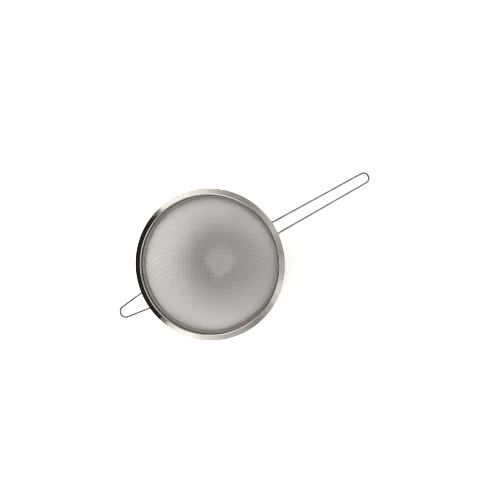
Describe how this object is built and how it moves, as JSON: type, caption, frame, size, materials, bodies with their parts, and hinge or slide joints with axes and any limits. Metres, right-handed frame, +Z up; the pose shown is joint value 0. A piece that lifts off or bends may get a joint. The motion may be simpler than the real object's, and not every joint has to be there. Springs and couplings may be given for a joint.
{
  "type": "tea strainer",
  "caption": "Round fine-mesh strainer: a pressed wire-mesh bowl in a polished sheet-metal rim, with a long bent-wire handle and a short wire rest loop opposite.",
  "frame": {"origin": "centre of the outside of the bowl's flat bottom, the face that the strainer stands on", "axes": "+Z up along the bowl's axis, +X along the handle"},
  "size_m": [0.3725, 0.2, 0.078],
  "materials": {
    "rim_steel": "polished stainless steel sheet, faint turning marks and light wipe marks",
    "clamp_steel": "polished stainless steel strip, slightly duller than the rim",
    "mesh_wire": "drawn stainless wire, plain weave, satin",
    "handle_wire": "drawn stainless wire, bright satin with fine lengthwise drawing lines",
    "loop_wire": "drawn stainless wire, bright satin with fine lengthwise drawing lines",
    "weld_metal": "fused weld metal, rough, with a slight straw heat tint"
  },
  "bodies": {
    "root": {"rim_band": "rim_steel", "clamp_band": "clamp_steel", "mesh_bowl": "mesh_wire", "band_spot_welds": "weld_metal", "handle": "handle_wire", "handle_foot_welds": "weld_metal", "rest_loop": "loop_wire", "rest_loop_foot_welds": "weld_metal"}
  },
  "joints": []
}
